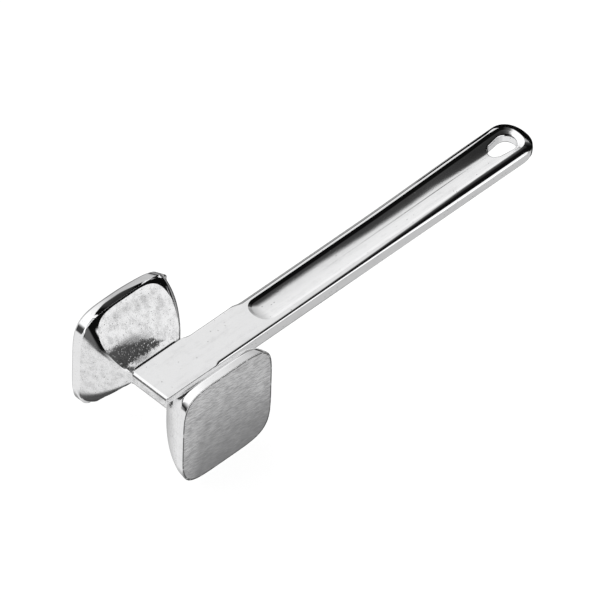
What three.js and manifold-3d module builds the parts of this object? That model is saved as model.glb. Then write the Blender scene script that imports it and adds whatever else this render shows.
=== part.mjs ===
// Cast aluminium meat mallet with a smooth striking face and a toothed one.
// Millimetres, +Z up. X runs across the head, Y runs along the handle away from the head.
// The origin is the middle of the web's front face, on the casting's middle plane.
import * as THREE from 'three';
import { mergeVertices } from 'three/addons/utils/BufferGeometryUtils.js';
import Module from 'manifold-3d';

const wasm = await Module();
wasm.setup();

// Bar: the flat web between the blocks, and the handle that runs on from it
const barThickness = 7.2;
const barLength = 231.8;
const webHalfWidth = 11.6;
const webLength = 29.6;
const webEdgeChamfer = 1.2;
const neckHalfWidth = 10.2;
const neckLength = 5;
const shoulderPlace = 64;
const shoulderHalfWidth = 9.8;
const waistHalfWidth = 10.3;
const waistPlace = 95;
const endHalfWidth = 11;
const endRoundLength = 9.4;
const endRoundPower = 2.2;
const sideCrown = 0.2;
const handleEdgeRound = 1.4;
const handleOverlap = 6;

// Channel: the dished hollow in the top and in the underside of the handle
const channelStart = 63.2;
const rimWidth = 3.4;
const channelHeadRoundLength = 6.5;
const channelWallDepth = 0.7;
const channelDepth = 1.7;
const channelWallDraft = 0.35;
const channelFloorEdge = 0.5;

// Hang hole near the handle's end
const holeEndRadius = 4.85;
const holeHeadRadius = 3.7;
const holeLength = 14.9;
const holeToEnd = 6.7;

// Head: two blocks that flare from the web's sides to the striking faces
const faceWidth = 53.8;
const faceHeight = 54.4;
const facePower = 4.75;
const faceOverhang = 12.6;
const bodyGrowth = 0.4;
const bodyPower = 4.3;
const rootCornerShare = 1.2;
const smoothFacePlace = 33.9;
const toothedFacePlace = 34.9;
const smoothPlateThickness = 3.4;
const toothedPlateThickness = 4.4;
const flankHeightPower = 1.4;
const flankHeightBend = 0.94;
const flankLengthPower = 1.48;
const flankLengthBend = 0.81;

// Teeth: square pyramids with small flat tips on one striking face
const toothRows = 6;
const toothPitch = 7.2;
const toothHeight = 3.8;
const toothTipWidth = 0.9;
const toothSink = 0.4;

// Fineness of the curved shapes
const faceSteps = 72;
const flankSteps = 9;
const roundSteps = 4;
const endSteps = 14;
const sideSteps = 8;
const dishSteps = 4;
const cutOverrun = 2;

const halfThickness = barThickness / 2;
const bodyMiddle = faceWidth / 2 - faceOverhang;

// Closed body through a row of rings that have the same number of points, with flat ends
function loft(rings, flatten) {
  const positions = [];
  const triangles = [];
  const count = rings[0].length;
  rings.forEach((ring) => ring.forEach((point) => positions.push(point.x, point.y, point.z)));
  for (let step = 0; step + 1 < rings.length; step += 1) {
    for (let index = 0; index < count; index += 1) {
      const next = (index + 1) % count;
      const a = step * count + index;
      const b = step * count + next;
      triangles.push(a, b, b + count, a, b + count, a + count);
    }
  }
  const last = (rings.length - 1) * count;
  const caps = THREE.ShapeUtils.triangulateShape(rings[0].map(flatten), []);
  caps.forEach(([a, b, c]) => triangles.push(c, b, a));
  const ends = THREE.ShapeUtils.triangulateShape(rings[rings.length - 1].map(flatten), []);
  ends.forEach(([a, b, c]) => triangles.push(last + a, last + b, last + c));
  const geometry = new THREE.BufferGeometry();
  geometry.setAttribute('position', new THREE.Float32BufferAttribute(positions, 3));
  geometry.setIndex(triangles);
  return geometry;
}

const seenFromAbove = (point) => new THREE.Vector2(point.x, point.y);
const seenFromSide = (point) => new THREE.Vector2(point.y, point.z);

// Solid of a geometry, for cutting and joining
function solid(geometry) {
  const bare = geometry.clone();
  bare.deleteAttribute('normal');
  bare.deleteAttribute('uv');
  const merged = mergeVertices(bare);
  return new wasm.Manifold(new wasm.Mesh({
    numProp: 3,
    vertProperties: new Float32Array(merged.attributes.position.array),
    triVerts: new Uint32Array(merged.index.array),
  }));
}

function geometryOf(body) {
  const mesh = body.getMesh();
  const geometry = new THREE.BufferGeometry();
  geometry.setAttribute('position', new THREE.Float32BufferAttribute(mesh.vertProperties, 3));
  geometry.setIndex(Array.from(mesh.triVerts));
  geometry.computeVertexNormals();
  return geometry;
}

// Half width of the handle at a place along it: even up to the waist, then a slow taper outwards
function handleHalfWidth(y) {
  const share = (y - waistPlace) / (barLength - endRoundLength - waistPlace);
  return THREE.MathUtils.lerp(waistHalfWidth, endHalfWidth, THREE.MathUtils.clamp(share, 0, 1));
}

// Long outline with rounded ends, set in from the handle's side by a margin
function longOutline(start, end, startRound, endRound, margin, z) {
  const points = [];
  const roundedEnd = (place, round, direction) => {
    const width = handleHalfWidth(place) - margin;
    for (let step = 0; step <= endSteps; step += 1) {
      const angle = (step / endSteps) * Math.PI;
      const across = Math.sign(Math.cos(angle)) * Math.abs(Math.cos(angle)) ** (2 / endRoundPower);
      const along = Math.sin(angle) ** (2 / endRoundPower);
      points.push(new THREE.Vector3(direction * width * across, place + direction * round * along, z));
    }
  };
  const side = (from, to, direction) => {
    for (let step = 1; step < sideSteps; step += 1) {
      const y = THREE.MathUtils.lerp(from, to, step / sideSteps);
      points.push(new THREE.Vector3(direction * (handleHalfWidth(y) - margin), y, z));
    }
  };
  const first = start + startRound;
  const last = end - endRound;
  roundedEnd(last, endRound, 1);
  side(last, first, -1);
  roundedEnd(first, startRound, -1);
  side(first, last, 1);
  return points;
}

// Handle: crowned sides and rounded edges, from inside the web to the round end
function handleBody() {
  const rings = [];
  const start = shoulderPlace - handleOverlap;
  const flat = halfThickness - handleEdgeRound;
  const addRing = (margin, z) => {
    rings.push(longOutline(start + margin, barLength - margin, handleEdgeRound, endRoundLength, margin, z));
  };
  for (let step = 0; step <= roundSteps; step += 1) {
    const angle = (step / roundSteps) * (Math.PI / 2);
    addRing(sideCrown + handleEdgeRound * (1 - Math.sin(angle)), -flat - handleEdgeRound * Math.cos(angle));
  }
  addRing(0, 0);
  for (let step = roundSteps; step >= 0; step -= 1) {
    const angle = (step / roundSteps) * (Math.PI / 2);
    addRing(sideCrown + handleEdgeRound * (1 - Math.sin(angle)), flat + handleEdgeRound * Math.cos(angle));
  }
  return solid(loft(rings, seenFromAbove));
}

// Web: flat plate with crisp sides and a chamfered front, as wide as the blocks' roots
function webBody() {
  const plan = new THREE.Shape();
  const neckEnd = webLength + neckLength;
  plan.moveTo(-webHalfWidth, 0);
  plan.lineTo(webHalfWidth, 0);
  plan.lineTo(webHalfWidth, webLength);
  plan.quadraticCurveTo(neckHalfWidth, webLength, neckHalfWidth, neckEnd);
  plan.lineTo(shoulderHalfWidth, shoulderPlace);
  plan.lineTo(-shoulderHalfWidth, shoulderPlace);
  plan.lineTo(-neckHalfWidth, neckEnd);
  plan.quadraticCurveTo(-neckHalfWidth, webLength, -webHalfWidth, webLength);
  plan.closePath();
  const plate = new THREE.ExtrudeGeometry(plan, {
    depth: barThickness,
    bevelEnabled: false,
    curveSegments: endSteps,
  });
  plate.translate(0, 0, -halfThickness);

  const section = new THREE.Shape();
  const chamfered = halfThickness - webEdgeChamfer;
  section.moveTo(0, -chamfered);
  section.lineTo(webEdgeChamfer, -halfThickness);
  section.lineTo(shoulderPlace + cutOverrun, -halfThickness);
  section.lineTo(shoulderPlace + cutOverrun, halfThickness);
  section.lineTo(webEdgeChamfer, halfThickness);
  section.lineTo(0, chamfered);
  section.closePath();
  const across = 2 * (webHalfWidth + cutOverrun);
  const bar = new THREE.ExtrudeGeometry(section, { depth: across, bevelEnabled: false });
  bar.rotateY(Math.PI / 2);
  bar.rotateX(Math.PI / 2);
  bar.translate(-across / 2, 0, 0);
  return solid(plate).intersect(solid(bar));
}

// Dished hollow of one side: a short steep wall and a floor that sags to the middle
function channelCutter(side) {
  const rings = [];
  const narrow = waistHalfWidth - rimWidth;
  const addRing = (margin, depth) => {
    const inset = rimWidth + margin;
    const shrink = 1 - margin / narrow;
    rings.push(longOutline(
      channelStart + margin,
      barLength - inset,
      channelHeadRoundLength * shrink,
      (endRoundLength - rimWidth) * shrink,
      inset,
      halfThickness - depth,
    ));
  };
  addRing(0, -cutOverrun);
  addRing(0, 0);
  addRing(channelWallDraft, channelWallDepth);
  const floorWidth = narrow - channelWallDraft - channelFloorEdge;
  for (let step = 1; step <= dishSteps; step += 1) {
    const share = step / dishSteps;
    const sag = (channelDepth - channelWallDepth) * (1 - (1 - share) ** 2);
    addRing(channelWallDraft + floorWidth * share, channelWallDepth + sag);
  }
  rings.reverse();
  const cutter = loft(rings, seenFromAbove);
  if (side < 0) {
    cutter.rotateY(Math.PI);
  }
  return solid(cutter);
}

// Egg-shaped hole, wider towards the handle's end
function holeCutter() {
  const endPlace = barLength - holeToEnd - holeEndRadius;
  const headPlace = barLength - holeToEnd - holeLength + holeHeadRadius;
  const lean = Math.asin((holeEndRadius - holeHeadRadius) / (endPlace - headPlace));
  const outline = new THREE.Shape();
  outline.absarc(0, endPlace, holeEndRadius, -lean, Math.PI + lean, false);
  outline.absarc(0, headPlace, holeHeadRadius, Math.PI + lean, 2 * Math.PI - lean, false);
  outline.closePath();
  const depth = barThickness + 2 * cutOverrun;
  const cutter = new THREE.ExtrudeGeometry(outline, { depth, bevelEnabled: false, curveSegments: endSteps });
  cutter.translate(0, 0, -depth / 2);
  return solid(cutter);
}

function handleBar() {
  const bar = webBody().add(handleBody());
  return geometryOf(bar.subtract(channelCutter(1)).subtract(channelCutter(-1)).subtract(holeCutter()));
}

// Rounded square of the head: one point of its outline in the plane of a face
function squarePoint(index, halfWidth, halfHeight, power) {
  const angle = (index / faceSteps) * 2 * Math.PI + Math.PI / faceSteps;
  const cosine = Math.cos(angle);
  const sine = Math.sin(angle);
  const reach = (Math.abs(cosine) ** power + Math.abs(sine) ** power) ** (-1 / power);
  return new THREE.Vector2(halfWidth * cosine * reach, halfHeight * sine * reach);
}

function squareRing(x, growth, power) {
  return Array.from({ length: faceSteps }, (unused, index) => {
    const point = squarePoint(index, faceWidth / 2 + growth, faceHeight / 2 + growth, power);
    return new THREE.Vector3(x, bodyMiddle + point.x, point.y);
  });
}

// Point of a block's root, on the web's side, that a point of the body's outline runs down to
function rootPoint(index) {
  const unit = squarePoint(index, 1, 1, bodyPower);
  const along = THREE.MathUtils.clamp(unit.x * rootCornerShare, -1, 1);
  const up = THREE.MathUtils.clamp(unit.y * rootCornerShare, -1, 1);
  return new THREE.Vector2((webLength / 2) * (1 + along), halfThickness * up);
}

// Block: four crowned flanks that run from the web's side out to the striking plate
function blockGeometry(side, facePlace, plateThickness) {
  const plateBack = facePlace - plateThickness;
  const depth = plateBack - webHalfWidth;
  const rings = [];
  for (let step = 0; step <= flankSteps; step += 1) {
    const share = 1 - (1 - step / flankSteps) ** (1 / flankHeightPower);
    const fromPlate = 1 - share;
    const upShare = (1 - fromPlate ** flankHeightPower) ** flankHeightBend;
    const alongShare = (1 - fromPlate ** flankLengthPower) ** flankLengthBend;
    const outline = squareRing(side * (webHalfWidth + depth * share), bodyGrowth, bodyPower);
    rings.push(outline.map((outer, index) => {
      const root = rootPoint(index);
      const y = THREE.MathUtils.lerp(root.x, outer.y, alongShare);
      const z = THREE.MathUtils.lerp(root.y, outer.z, upShare);
      return new THREE.Vector3(outer.x, y, z);
    }));
  }
  if (side < 0) {
    rings.reverse();
  }
  return loft(rings, seenFromSide);
}

// Striking plate: the rim of the head, crowned up to the crisp edge of the flat face
function plateGeometry(side, facePlace, plateThickness) {
  const rings = [];
  for (let step = 0; step <= roundSteps; step += 1) {
    const angle = (step / roundSteps) * (Math.PI / 2);
    const x = facePlace - plateThickness * (1 - Math.sin(angle));
    const share = Math.cos(angle);
    rings.push(squareRing(side * x, bodyGrowth * share, THREE.MathUtils.lerp(facePower, bodyPower, share)));
  }
  if (side < 0) {
    rings.reverse();
  }
  return loft(rings, seenFromSide);
}

// One tooth: a square pyramid whose base is sunk a little into the plate
function toothBody(y, z) {
  const ring = (halfWidth, x) => [[-1, -1], [1, -1], [1, 1], [-1, 1]].map(([right, up]) => (
    new THREE.Vector3(x, y + right * halfWidth, z + up * halfWidth)));
  const tip = ring(toothTipWidth / 2, -toothedFacePlace - toothHeight);
  const foot = ring(toothPitch / 2, -toothedFacePlace);
  const sunk = ring(toothPitch / 2, toothSink - toothedFacePlace);
  return solid(loft([tip, foot, sunk], seenFromSide));
}

function toothedPlateGeometry() {
  let plate = solid(plateGeometry(-1, toothedFacePlace, toothedPlateThickness));
  const middle = (toothRows - 1) / 2;
  for (let row = 0; row < toothRows; row += 1) {
    for (let column = 0; column < toothRows; column += 1) {
      const y = bodyMiddle + (column - middle) * toothPitch;
      plate = plate.add(toothBody(y, (row - middle) * toothPitch));
    }
  }
  return geometryOf(plate);
}

function piece(name, geometry, color, roughness) {
  const mesh = new THREE.Mesh(geometry, new THREE.MeshStandardMaterial({ color, roughness, metalness: 1 }));
  mesh.name = name;
  return mesh;
}

const castColor = 0xd9dadc;
const groundColor = 0xb9babc;

const mallet = new THREE.Group();
mallet.add(
  piece('handle_bar', handleBar(), castColor, 0.2),
  piece('smooth_block', blockGeometry(1, smoothFacePlace, smoothPlateThickness), castColor, 0.25),
  piece('smooth_striking_plate', plateGeometry(1, smoothFacePlace, smoothPlateThickness), groundColor, 0.4),
  piece('toothed_block', blockGeometry(-1, toothedFacePlace, toothedPlateThickness), castColor, 0.25),
  piece('toothed_striking_plate', toothedPlateGeometry(), castColor, 0.25),
);

export default mallet;
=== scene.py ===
"""Looks of a cast aluminium meat mallet: a bar, two flared blocks, a ground face and a toothed one."""
import math

import bmesh
import bpy
import numpy as np
from bpy.props import FloatProperty, FloatVectorProperty, IntProperty, PointerProperty
from mathutils import Matrix, Vector


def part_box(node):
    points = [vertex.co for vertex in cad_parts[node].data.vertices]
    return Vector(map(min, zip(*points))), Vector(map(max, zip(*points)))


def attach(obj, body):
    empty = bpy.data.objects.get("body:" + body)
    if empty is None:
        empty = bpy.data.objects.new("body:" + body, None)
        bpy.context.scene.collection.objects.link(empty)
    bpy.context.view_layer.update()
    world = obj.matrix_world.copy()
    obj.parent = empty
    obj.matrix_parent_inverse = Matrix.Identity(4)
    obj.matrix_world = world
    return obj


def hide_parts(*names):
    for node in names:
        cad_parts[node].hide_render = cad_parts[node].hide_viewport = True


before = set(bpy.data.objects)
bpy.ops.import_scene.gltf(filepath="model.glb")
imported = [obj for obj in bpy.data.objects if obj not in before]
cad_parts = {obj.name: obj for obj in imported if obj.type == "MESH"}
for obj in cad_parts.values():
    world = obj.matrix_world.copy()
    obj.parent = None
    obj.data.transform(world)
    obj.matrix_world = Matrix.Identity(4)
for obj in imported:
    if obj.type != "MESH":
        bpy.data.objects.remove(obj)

bl_info = {
    "name": "Cast Aluminium Meat Mallet",
    "version": (1, 0, 0),
    "blender": (4, 5, 0),
    "location": "3D View > Sidebar > Mallet",
    "description": "Builds a two-sided cast aluminium meat mallet and the studio it is shown in",
    "category": "Add Mesh",
}

_, BAR_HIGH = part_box("handle_bar")
SMOOTH_LOW, SMOOTH_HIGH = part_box("smooth_striking_plate")
TOOTHED_LOW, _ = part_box("toothed_striking_plate")
TOOTH_HEIGHT = 0.0030
MILLIMETRE = 0.001
MILLIMETRES = 1000.0
CUT_OVERRUN = 2 * MILLIMETRE
TOLERANCE = 1e-6

# Fineness of the bar, as numbers of places along each stretch of it
NECK_PLACES = 13
GRIP_PLACES = 150
END_PLACES = 73
EDGE_PLACES = 15
CHANNEL_ROUND_PLACES = 49
CHANNEL_PLACES = 120
FLOOR_PLACES = 22
HOLE_END_PLACES = 56
HOLE_HEAD_PLACES = 48
HOLE_EDGE_PLACES = 7

# Fineness of the head: points in each ring, and numbers of rings
HEAD_PLACES = 512
ROOT_TO_CREASE_RINGS = 37
CREASE_TO_RIM_RINGS = 33
RIM_RINGS = 14
RIM_ROUND_RINGS = 13
LIP_RINGS = 4

# Stretches along the bar over which one shape turns into the next, as shares of its length
NEAR_EDGE_CHANGE = (0.26, 0.87)
FAR_EDGE_CHANGE = (0.93, 0.965)
TIP_CHANGE = (0.952, 0.975)
FAR_RIM_CHANGE = (0.86, 0.95)
GRIP_FLOOR_CHANGE = (0.43, 0.71)
HOLE_FLOOR_CHANGE = (0.75, 0.93)

# Bar: how far before and after the shoulder the facet grows, the height of the neck's facet over its
# width, the share of the half thickness that the sides' crown takes, and how far the edge's last ring
# goes in over the flat top
FACET_BEFORE_SHOULDER = 0.006
FACET_AFTER_SHOULDER = 0.002
NECK_FACET_SLOPE = 0.5
CROWNED_SHARE = 0.6
TOP_MARGIN = 0.4 * MILLIMETRE

# Channel: steps round the foot of its wall, and how far its innermost ring is drawn to the middle line
FOOT_SHARES = (0.0, 0.35, 0.7, 1.0)
FLOOR_DRAWN_IN = 0.96

# Blocks: the crease's least reach, the share of the flanks' curve that ends at the rim, the height of the
# ring that is hidden in the web, the turns over which the root's dip fades in, where the flat cheeks start
# to fade, how much of a step down the flank goes across the head, and the depth over which the dish starts
SHORTEST_CREASE = 0.015
CURVE_SHARE = 0.99
HIDDEN_HEIGHT = 0.97
DIP_FADE = (math.radians(44), math.radians(32))
CHEEK_FADE_START = 0.020
STEP_ACROSS = 0.66
DISH_FADE = 0.25

# Degrees from the top or bottom over which the nearness to a corner of the head rises and falls again
FRONT_CORNER_RISE = (18, 42)
FRONT_CORNER_FALL = (48, 62)
BACK_CORNER_RISE = (-5, 38)
BACK_CORNER_FALL = (45, 65)

# How late each rim flares out, and where along the handle it gets dull
SMOOTH_FLARE = 1.7
TOOTHED_FLARE = 1.2
SMOOTH_WORN_STRETCH = (0.010, 0.022)
SMOOTH_WORN_SHARE = 0.5
TOOTHED_WORN_STRETCH = (0.0, 0.010)

# Edges that turn by more than this are shaded as sharp ones
BAR_SHARP_ANGLE = math.radians(15.5)
BLOCK_SHARP_ANGLE = math.radians(50)
PLATE_SHARP_ANGLE = math.radians(25)
TEETH_SHARP_ANGLE = math.radians(35)

# Finish of the metal: depths in millimetres, the rest as shares
POLISHED_ROUGHNESS = 0.075
GROUND_ROUGHNESS = 0.36
DULL_ROUGHNESS = 0.10
SKIN_ROUGHNESS = 0.10
PATCH_ROUGHNESS = 0.40
GROUND_SMOOTHING = 0.08
BAR_WAVE_DEPTH = 0.08
BLOCK_WAVE_DEPTH = 0.06
BAR_GRAIN_DEPTH = 0.0035
FLOOR_GRAIN_DEPTH = 0.014
BLOCK_GRAIN_DEPTH = 0.003
SKIN_GRAIN_DEPTH = 0.006
PIT_DEPTH = 0.02
SCRATCH_DEPTH = 0.012
CROSSING_DEPTH = 0.010

# Patterns: how fine the waves are, how the streaks and scratches are drawn out along the handle, and the
# angle in radians between the scratches and those that cross them
WAVE_SCALE = 0.09
STREAK_STRETCH = (1.0, 0.12, 1.0)
SCRATCH_STRETCH = (1.0, 0.13, 2.1)
CROSSING_STRETCH = (1.0, 0.18, 1.9)
CROSSING_ANGLE = 0.35

# Dark lines on the web, painted shade in its joints and at its front's edges together with dirt, in
# millimetres and shares: how far in from its side and its end the joints' lines reach, the heights of the
# lines over and under the front's flat part, how far back they go, and where they break
JOINT_REACH = 0.45
JOINT_CORE = 0.20
JOINT_FADE = 1.0
JOINT_BREAKS = (0.42, 0.56)
NEAR_JOINT_SHADE_AND_DIRT = 0.40
FAR_JOINT_EXTRA_SHADE_AND_DIRT = 0.32
FRONT_LINE = (-1.30, -0.80, 0.15, 0.25)
UNDER_LINE = (0.25, 0.50)
FRONT_LINE_BACK = (0.25, 0.40)
FRONT_BREAKS = (0.30, 0.42)
FRONT_SHADE_AND_DIRT = 0.95
UNDER_SHADE_AND_DIRT = 0.7

# Duller parts of the bar, in millimetres: the web's front, the grip's lower side, whose darker band is
# painted shade, and the channel's floor
FRONT_SKIN = (0.05, 0.3)
LOW_SIDE_BOTTOM = (-3.2, -2.8)
LOW_SIDE_TOP = (-2.5, -2.1)
LOW_SIDE_START = (32.0, 40.0)
LOW_SIDE_END = (100.0, 130.0)
FLOOR_SIDE = (7.4, 8.0)
FLOOR_HEIGHT = (2.7, 3.0)
FLOOR_START = (70.0, 80.0)

# Dullness of the bar: the levels of its patterns between which it comes in, and the streaks' strength
STREAK_LEVELS = (0.46, 0.72)
FRONT_LEVELS = (0.42, 0.60)
STREAK_DULLNESS = 0.28

# Rough patch on the far block, darkened as a painted dark reflection, in millimetres: how far its edge
# sways, the height of its top with the fall and the bend of that along the handle, and its soft edges; how
# dark it is, and how bright its specks are
PATCH_CLOUD_SWAY = 5.0
PATCH_GRAIN_SWAY = 4.0
PATCH_HEIGHT = 14.0
PATCH_FALL = 0.1
PATCH_BEND = 0.011
PATCH_TOP = (-1.2, 0.6)
PATCH_BOTTOM = (5.4, 6.4)
PAINTED_REFLECTION_DARKNESS = 0.82
PATCH_SPECK_SHARE = 0.9

# Blocks beside the web, in millimetres: the height over the web's sides, and the widths of the dark seam,
# which is painted joint shade with dirt, and of the darker ribbon, which is painted shade
OVER_WEB_SIDE = (2.9, 3.4)
SEAM_WIDTH = (0.08, 0.28)
SEAM_BREAKS = (0.40, 0.52)
SEAM_SHADE_DARKNESS = 0.6
SHADE_RIBBON_WIDTH = (0.9, 1.4)

# Dullness and marks of the blocks, as shares
BLOCK_LEVELS = (0.42, 0.64)
POLISHED_MOTTLING = 0.15
SKIN_MOTTLING = 0.10
FAR_SKIN_MOTTLING = 0.42
FLANK_DULLNESS = 0.28
WORN_DULLNESS = 0.9
POLISHED_MARKS = 0.25
SKIN_MARKS = 0.55
FINE_PIT_SHARE = 0.7

# Ground face: its dark edge line, painted edge shade with a burr, as a share of the way out, and in
# millimetres the stretches along the handle and up over which its painted shading changes, with how far a
# cloud shifts them
EDGE_LINE_REACH = (0.970, 0.980)
EDGE_LINE_BREAKS = (0.34, 0.46)
EDGE_SHADE_DARKNESS = 0.9
FACE_FRONT = (-11.0, 0.0)
FACE_BACK = (22.0, 36.0)
FACE_BACK_HEIGHT = (-12.0, 6.0)
FACE_HEIGHT = (-28.0, 26.0)
FACE_CLOUD_SWAY = 12.0

# Painted shading of the ground face, where 0 is its darkest painted shade in the worn metal colour and 1 is
# the ground metal colour, and the strength of its scratches
TONE_POWER = 1.15
LOWEST_TONE = 0.14
FRONT_TONE = 0.40
BACK_TONE = 0.34
HIGHEST_TONE = 1.1
SCRATCH_LEVELS = (0.41, 0.58)
SCRATCH_STRENGTH = 0.66

# Softboxes: turns in degrees from straight up to the right, and depths from -1 in front to 1 behind
LEFT_TURN_START = (-92.0, -84.0)
LEFT_TURN_FRONT_DELAY = 30.0
LEFT_TURN_END = (-26.0, -14.0)
LEFT_DEPTH = (-0.86, 0.97)
FRONT_DEPTH = (-0.60, -0.40)
RIGHT_TURN = (44.0, 118.0)
RIGHT_DEPTH = (-0.45, 0.80)
BEHIND_TURN = (84.0, 118.0)
BEHIND_DEPTH_START = (0.70, 0.80)
BEHIND_DEPTH_END = (0.965, 0.985)
SOFT_TURN = 8.0
SOFT_DEPTH = 0.14
SIDE_LIGHT = 1.05
DARKEST_LIGHT = 0.004

# The left softbox is brightest at its middle, and has a brighter stripe along its low edge
SOFTBOX_MIDDLE = (-0.81, -0.30, 0.51)
SOFTBOX_SPREAD = (0.27, 0.86)
SOFTBOX_STRENGTHS = (0.45, 1.11)
STRIPE_TURN = (-76.0, -64.0)
STRIPE_LIGHT = 0.13

# Grey edge beside the left softbox, darker behind than in front
GREY_TURN_START = (-30.0, -20.0)
GREY_TURN_END = (-22.0, 2.0)
GREY_DEPTH = (-0.1, 0.5)
GREY_STRENGTHS = (0.17, 0.085)

# Paper under the tool: its strengths in front and behind, and where it darkens, by depth and height
PAPER_DEPTH = (-0.2, 0.5)
PAPER_STRENGTHS = (0.84, 0.36)
PAPER_RIGHT_SIDE = (-0.1, 0.3)
PAPER_RIGHT_DEPTH = (0.0, 0.4)
PAPER_RIGHT_LIGHT = 0.20
PAPER_BACK_DEPTH = (0.93, 0.97)
PAPER_BACK_LOSS = 0.85
PAPER_TOP = (-0.12, -0.02)
HORIZON_HEIGHT = (-0.26, -0.14)
HORIZON_DEPTH = (-0.75, -0.5)
SHADOW_LOSS = 0.90
SHADOW_HEIGHT = (-0.92, -0.80)
LEFT_SHADOW_DEPTH = (0.36, 0.48)
LEFT_SHADOW_SIDE = (0.0, 0.15)
LEFT_SHADOW_HEIGHT = (-0.44, -0.34)
AHEAD_DEPTH = (-0.86, -0.76)
AHEAD_SIDE = (-0.3, 0.1)
AHEAD_STRENGTHS = (0.05, 0.12)

# Stage: colours of the floor for other rays and for the camera, the floor's own light, and the black flag
PAPER_COLOUR = (0.80, 0.80, 0.80, 1.0)
SHADED_COLOUR = (0.35, 0.35, 0.35, 1.0)
FLOOR_LIGHT = 0.93
BLACK = (0.01, 0.01, 0.01, 1.0)
WHITE = (1.0, 1.0, 1.0, 1.0)

# Flag and camera: how far the flag reaches to the right as a share of its reach to the left, the sensor's
# width in millimetres, and the nearest and farthest distances seen in metres
FLAG_RIGHT_SHARE = 0.4
SENSOR_WIDTH = 36.0
NEAREST_SEEN = 0.1
FARTHEST_SEEN = 100.0


def length_setting(name, description, default):
    return FloatProperty(
        name=name, description=description, default=default, unit="LENGTH", subtype="DISTANCE", precision=5)


def share_setting(name, description, default):
    return FloatProperty(name=name, description=description, default=default)


def angle_setting(name, description, degrees):
    return FloatProperty(
        name=name, description=description, default=math.radians(degrees), unit="ROTATION", subtype="ANGLE")


def colour_setting(name, description, default):
    return FloatVectorProperty(name=name, description=description, default=default, size=3, subtype="COLOR")


class BarSizes(bpy.types.PropertyGroup):
    """Sizes of the web and the handle."""
    half_thickness: length_setting("Half thickness", "From the middle plane to the flat top", BAR_HIGH.z)
    length: length_setting("Length", "From the web's front to the handle's end", BAR_HIGH.y)
    web_half_width: length_setting("Web half width", "From the middle to a block's root", BAR_HIGH.x)
    web_length: length_setting("Web length", "How long the web is between the blocks", 0.0296)
    neck_length: length_setting("Neck length", "How far the neck takes to draw in", 0.003)
    shoulder_place: length_setting("Shoulder place", "Where the grip starts", 0.064)
    near_half_width: length_setting("Near half width", "From the middle to the handle's +X side", 0.01105)
    far_half_width: length_setting("Far half width", "From the middle to the grip's -X side", 0.01045)
    far_end_half_width: length_setting("Far end half width", "The same before the round end", 0.01150)
    widening_place: length_setting("Widening place", "Where the -X side starts to widen", 0.135)
    bump: length_setting("Bump", "Height of the bump on the -X side at the shoulder", 0.00030)
    bump_place: length_setting("Bump place", "Where that bump is", 0.061)
    bump_width: length_setting("Bump width", "Half the bump's width", 0.0020)
    end_round: length_setting("End round", "How long the round end is", 0.0094)
    front_bevel: length_setting("Front bevel", "Bevel along the web's front edges", 0.0010)
    web_edge: length_setting("Web edge", "Edge radius along the web", 0.00045)
    neck_facet: length_setting("Neck facet", "Width of the small facet on the neck's -X side", 0.0010)
    facet_width: length_setting("Facet width", "Width of the facet on the grip's -X side", 0.0026)
    facet_drop: length_setting("Facet drop", "Height of the facet on the grip's -X side", 0.0018)
    near_width: length_setting("Near round width", "Width of the rounding on the grip's +X side", 0.0031)
    near_drop: length_setting("Near round drop", "Height of the rounding on the grip's +X side", 0.0015)
    end_width: length_setting("End round width", "Width of the rounding round the end", 0.0042)
    end_drop: length_setting("End round drop", "Height of the rounding round the end", 0.0020)
    side_crown: length_setting("Side crown", "How far the sides stand out at the middle plane", 0.0002)
    facet_power: share_setting("Facet power", "Fullness of the facet, where 1 is flat and 2 is round", 1.2)
    near_power: share_setting("Near power", "Fullness of the +X rounding at the head", 4.4)
    tip_width: length_setting("Tip width", "Width of the slope round the very end", 0.0040)
    tip_drop: length_setting("Tip drop", "Height of the slope round the very end", 0.0017)
    tip_power: share_setting("Tip power", "Fullness of that slope, where 1 is flat", 1.15)
    end_power: share_setting("End power", "Squareness of the round end", 2.2)


class ChannelSizes(bpy.types.PropertyGroup):
    """Sizes of the dished channel and the hang hole."""
    rim: length_setting("Rim", "Width of the rim on the channel's +X side", 0.0034)
    far_rim: length_setting("Far rim", "Width of the rim on the channel's -X side", 0.0034)
    far_rim_end: length_setting("Far rim end", "Width of the -X side's rim beside the hole", 0.0029)
    start: length_setting("Start", "Where the channel starts", 0.0632)
    head_round: length_setting("Head round", "Length of its round at the head", 0.0065)
    wall_depth: length_setting("Wall depth", "Depth of the short wall", 0.0006)
    wall_draft: length_setting("Wall draft", "Width of the short leaning wall", 0.0015)
    foot: length_setting("Foot", "Width of the rounding between wall and floor", 0.0003)
    floor_slope: angle_setting("Floor slope", "Slope of the floor beside the wall", 13)
    hole_slope: angle_setting("Hole slope", "Slope of the floor beside the wall at the hole", 17)
    head_power: share_setting("Head power", "How late the floor levels out at the head", 0.95)
    grip_power: share_setting("Grip power", "How late the floor levels out along the grip", 2.2)
    hole_power: share_setting("Hole power", "How late the floor levels out at the hole", 5.2)
    hole_end_radius: length_setting("Hole end radius", "Radius of the hole's outer end", 0.00485)
    hole_head_radius: length_setting("Hole head radius", "Radius of the hole's inner end", 0.0040)
    hole_length: length_setting("Hole length", "Length of the hole", 0.0149)
    hole_to_end: length_setting("Hole to end", "Metal between the hole and the handle's end", 0.0067)
    hole_edge: length_setting("Hole edge", "Rounding of the hole's edge", 0.0008)


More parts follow.
